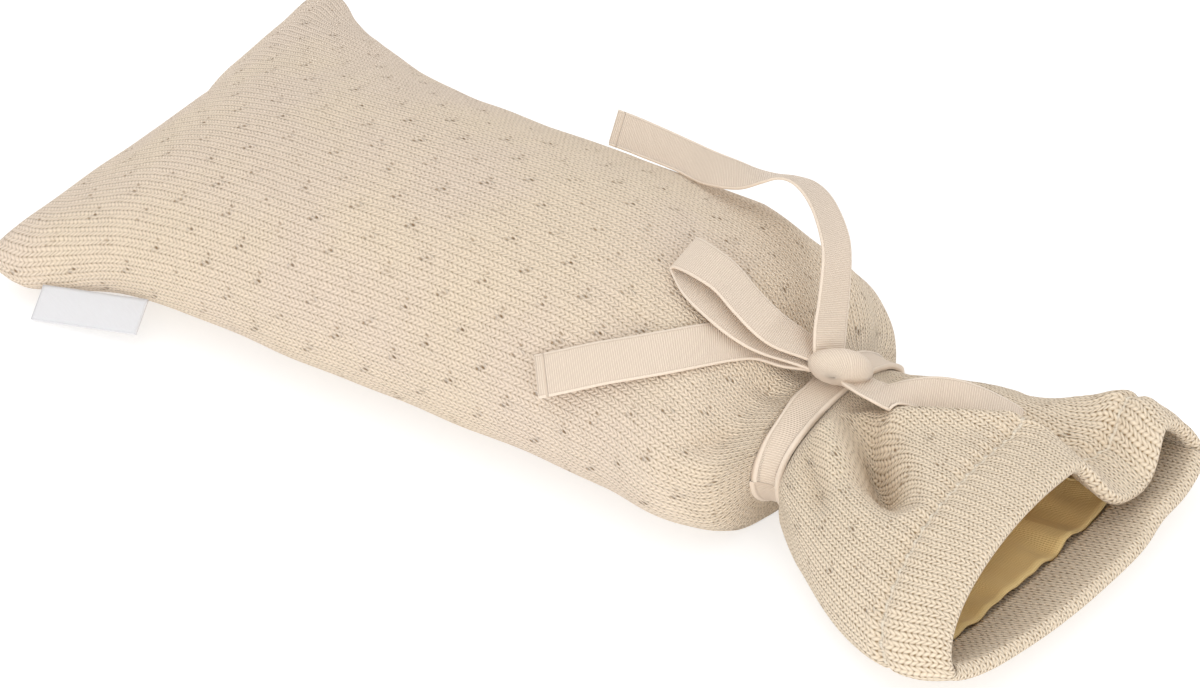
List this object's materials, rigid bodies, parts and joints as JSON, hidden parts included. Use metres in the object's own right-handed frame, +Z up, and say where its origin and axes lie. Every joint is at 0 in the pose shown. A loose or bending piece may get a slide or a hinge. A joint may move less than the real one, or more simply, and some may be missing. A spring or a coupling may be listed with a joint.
{
  "type": "hot water bottle cover",
  "caption": "Knitted pouch that goes over a hot water bottle, gathered at the neck by a ribbon tied in a bow, with a flared lined mouth.",
  "frame": {"origin": "on the surface that the cover lies on, under the middle of the filled body", "axes": "+X along the cover towards its mouth, +Y to its far side in the picture, +Z up"},
  "size_m": [0.4076, 0.2056, 0.0764],
  "materials": {
    "knit": "stockinette knit in beige cotton, matte",
    "lining": "woven cotton, matte",
    "ribbon": "ribbed ribbon, matte",
    "label": "plain white woven tape"
  },
  "bodies": {
    "root": {"knit_cover": "knit", "mouth_lining": "lining", "ribbon_tie": "ribbon", "side_label": "label"}
  },
  "joints": []
}
